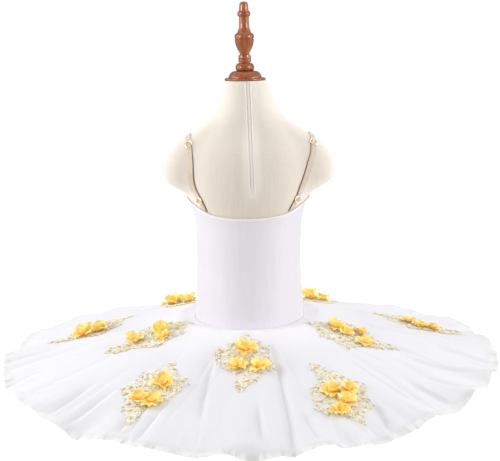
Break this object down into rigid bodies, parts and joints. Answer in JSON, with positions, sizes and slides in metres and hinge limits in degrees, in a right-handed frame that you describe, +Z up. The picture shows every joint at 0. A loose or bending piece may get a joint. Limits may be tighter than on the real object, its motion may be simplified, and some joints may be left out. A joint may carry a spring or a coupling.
{
  "type": "ballet tutu on dress form",
  "caption": "Child's white pancake tutu with gold lace appliques and organza flowers, on a limbless dress form with a turned wooden cap, pole and base.",
  "frame": {"origin": "on the floor, at the middle of the base's flat underside", "axes": "+Z up along the pole, -Y towards the garment's back, +Y towards its front, +X to the right seen from the back"},
  "size_m": [0.88, 0.88, 1.219],
  "materials": {
    "form_cloth": "matt knitted cover",
    "bodice_cloth": "smooth stretch cloth with a faint sheen",
    "binding_cloth": "narrow satin binding",
    "net": "fine stiff net, sheer",
    "lace": "embroidered lace with a gold thread",
    "organza": "sheer crisp organza",
    "strap_satin": "satin elastic",
    "gilt_metal": "polished gilt",
    "red_brown_wood": "varnished turned wood"
  },
  "bodies": {
    "root": {"form_torso": "form_cloth", "form_zip_tape": "form_cloth", "neck_cap": "red_brown_wood", "finial": "red_brown_wood", "stand_pole": "red_brown_wood", "stand_base": "red_brown_wood", "bodice_back_left": "bodice_cloth", "bodice_back_right": "bodice_cloth", "bodice_side_left": "bodice_cloth", "bodice_side_right": "bodice_cloth", "bodice_front": "bodice_cloth", "bodice_binding": "binding_cloth", "knickers_yoke": "bodice_cloth", "net_layer_1_top": "net", "net_layer_2": "net", "net_layer_3": "net", "net_layer_4_short": "net", "lace_01": "lace", "lace_02": "lace", "lace_03": "lace", "lace_04": "lace", "lace_05": "lace", "lace_06": "lace", "lace_07": "lace", "lace_08": "lace", "lace_09": "lace", "lace_10": "lace", "flowers_01": "organza", "flowers_02": "organza", "flowers_03": "organza", "flowers_04": "organza", "flowers_05": "organza", "flowers_06": "organza", "flowers_07": "organza", "flowers_08": "organza", "flowers_09": "organza", "flowers_10": "organza", "strap_left": "strap_satin", "strap_right": "strap_satin", "strap_tab_left": "strap_satin", "strap_tab_right": "strap_satin", "strap_slider_left": "gilt_metal", "strap_slider_right": "gilt_metal", "strap_ring_left": "gilt_metal", "strap_ring_right": "gilt_metal"}
  },
  "joints": []
}
